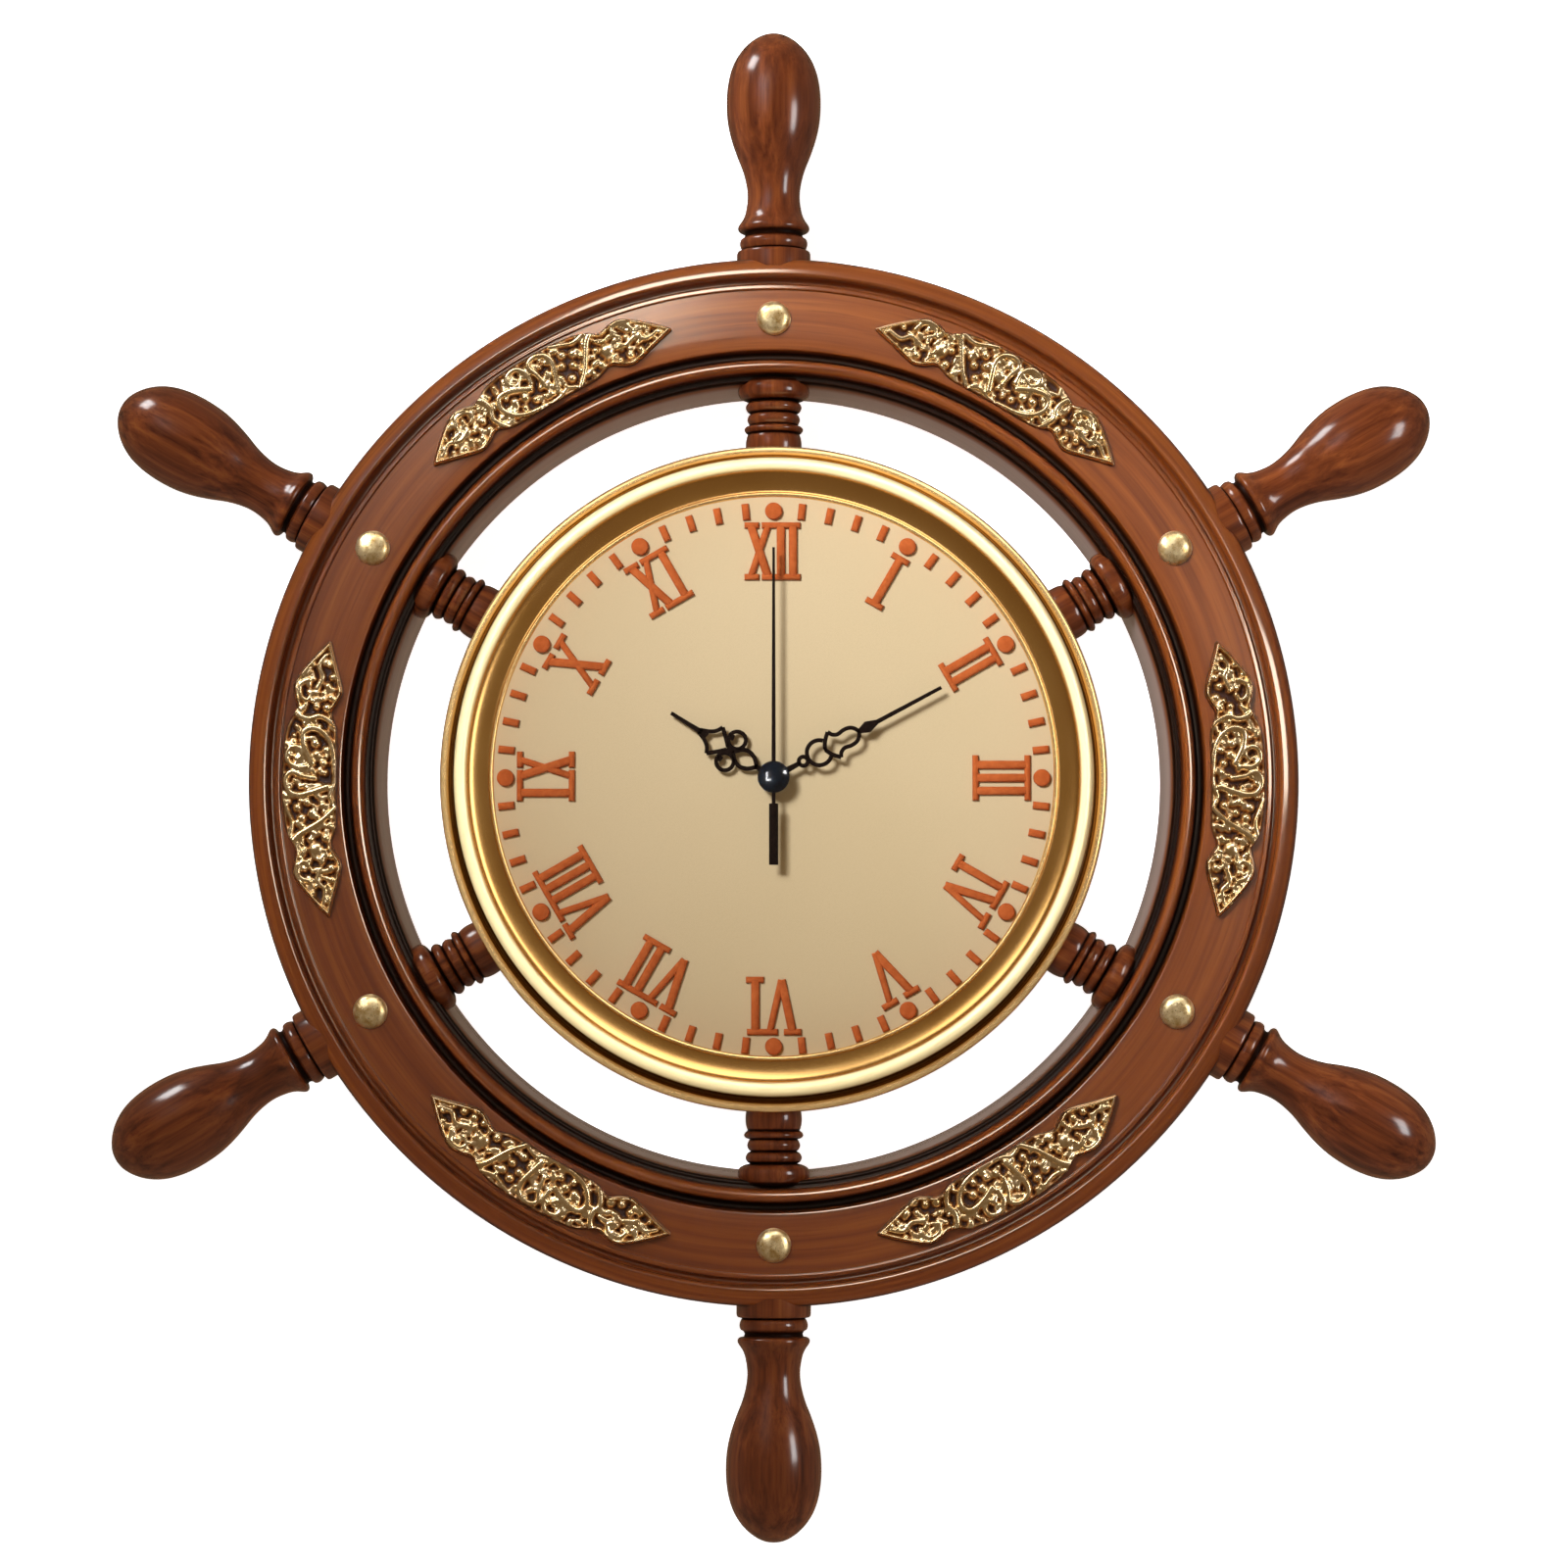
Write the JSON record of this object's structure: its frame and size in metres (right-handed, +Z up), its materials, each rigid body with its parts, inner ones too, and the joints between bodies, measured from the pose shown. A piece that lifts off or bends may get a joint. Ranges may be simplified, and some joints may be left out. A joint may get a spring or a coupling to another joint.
{
  "type": "ship wheel clock",
  "caption": "Round wall clock in the hub of a wooden ship's wheel, with turned spokes and handles, a brass bezel, gilt rim plaques, Roman dial and pierced hands.",
  "frame": {"origin": "the point on the wall plane where the wall screw bears in the keyhole hanger; the hands turn about a line along Y that lies 62 mm below it", "axes": "-Y out of the wall towards the viewer, +X to the viewer's right, +Z up"},
  "size_m": [0.3984, 0.0455, 0.457],
  "materials": {
    "wood": "stained and gloss lacquered",
    "brass": "polished",
    "gilt": "cast, antique gilt with dark recesses",
    "glass": "clear",
    "dial": "satin cream",
    "hand": "black enamel",
    "case": "moulded black",
    "gear": "moulded white",
    "steel": "zinc plated",
    "copper": "enamelled copper winding",
    "board": "green solder resist",
    "battery": "plain grey sleeve",
    "rubber": "matt black"
  },
  "bodies": {
    "wheel": {"rim_front": "wood", "rim_back": "wood", "spoke_1": "wood", "spoke_2": "wood", "spoke_3": "wood", "spoke_4": "wood", "spoke_5": "wood", "spoke_6": "wood", "stud_1": "brass", "stud_2": "brass", "stud_3": "brass", "stud_4": "brass", "stud_5": "brass", "stud_6": "brass", "ornament_1": "gilt", "ornament_2": "gilt", "ornament_3": "gilt", "ornament_4": "gilt", "ornament_5": "gilt", "ornament_6": "gilt", "hub_block": "wood", "keyhole_hanger": "steel", "hanger_screw_1": "steel", "hanger_screw_2": "steel", "bezel": "brass", "bezel_screw_1": "steel", "bezel_screw_2": "steel", "bezel_screw_3": "steel", "lens": "glass", "dial": "dial", "movement_base": "case", "movement_cover": "case", "middle_plate": "case", "mounting_nut": "brass", "mounting_washer": "rubber", "stator": "steel", "coil": "copper", "circuit_board": "board", "battery": "battery", "contact_plus": "steel", "contact_minus": "steel"},
    "seconds": {"second_hand": "hand", "second_wheel": "gear"},
    "minutes": {"minute_hand": "hand", "centre_wheel": "gear"},
    "hours": {"hour_hand": "hand", "hour_wheel": "gear"},
    "third": {"third_wheel": "gear"},
    "step": {"step_wheel": "gear"},
    "rotor": {"rotor": "steel"},
    "reduction": {"minute_wheel": "gear"},
    "knob": {"setting_knob": "gear"}
  },
  "joints": [
    {"name": "second_hand_turn", "type": "hinge", "parent": "wheel", "child": "seconds", "pos_m": [0, -0.012, -0.062], "axis": [0, 1, 0], "continuous": true},
    {"name": "minute_hand_turn", "type": "hinge", "parent": "wheel", "child": "minutes", "pos_m": [0, -0.012, -0.062], "axis": [0, 1, 0], "continuous": true},
    {"name": "hour_hand_turn", "type": "hinge", "parent": "wheel", "child": "hours", "pos_m": [0, -0.012, -0.062], "axis": [0, 1, 0], "continuous": true},
    {"name": "third_wheel_turn", "type": "hinge", "parent": "wheel", "child": "third", "pos_m": [-0.01, -0.012, -0.062], "axis": [0, 1, 0], "continuous": true},
    {"name": "step_wheel_turn", "type": "hinge", "parent": "wheel", "child": "step", "pos_m": [0.0081, -0.012, -0.062], "axis": [0, 1, 0], "continuous": true},
    {"name": "rotor_turn", "type": "hinge", "parent": "wheel", "child": "rotor", "pos_m": [0.01345, -0.012, -0.05665], "axis": [0, 1, 0], "continuous": true},
    {"name": "minute_wheel_turn", "type": "hinge", "parent": "wheel", "child": "reduction", "pos_m": [0, -0.012, -0.0524], "axis": [0, 1, 0], "continuous": true},
    {"name": "setting_knob_turn", "type": "hinge", "parent": "wheel", "child": "knob", "pos_m": [-0.00831, -0.012, -0.0476], "axis": [0, 1, 0], "continuous": true}
  ],
  "couplings": [
    {"joint": "minute_hand_turn", "follows": "second_hand_turn", "ratio": 0.016667},
    {"joint": "hour_hand_turn", "follows": "second_hand_turn", "ratio": 0.0013889},
    {"joint": "third_wheel_turn", "follows": "second_hand_turn", "ratio": -0.13333},
    {"joint": "step_wheel_turn", "follows": "second_hand_turn", "ratio": -5},
    {"joint": "rotor_turn", "follows": "second_hand_turn", "ratio": 30},
    {"joint": "minute_wheel_turn", "follows": "second_hand_turn", "ratio": -0.0055556},
    {"joint": "setting_knob_turn", "follows": "second_hand_turn", "ratio": 0.016667}
  ]
}
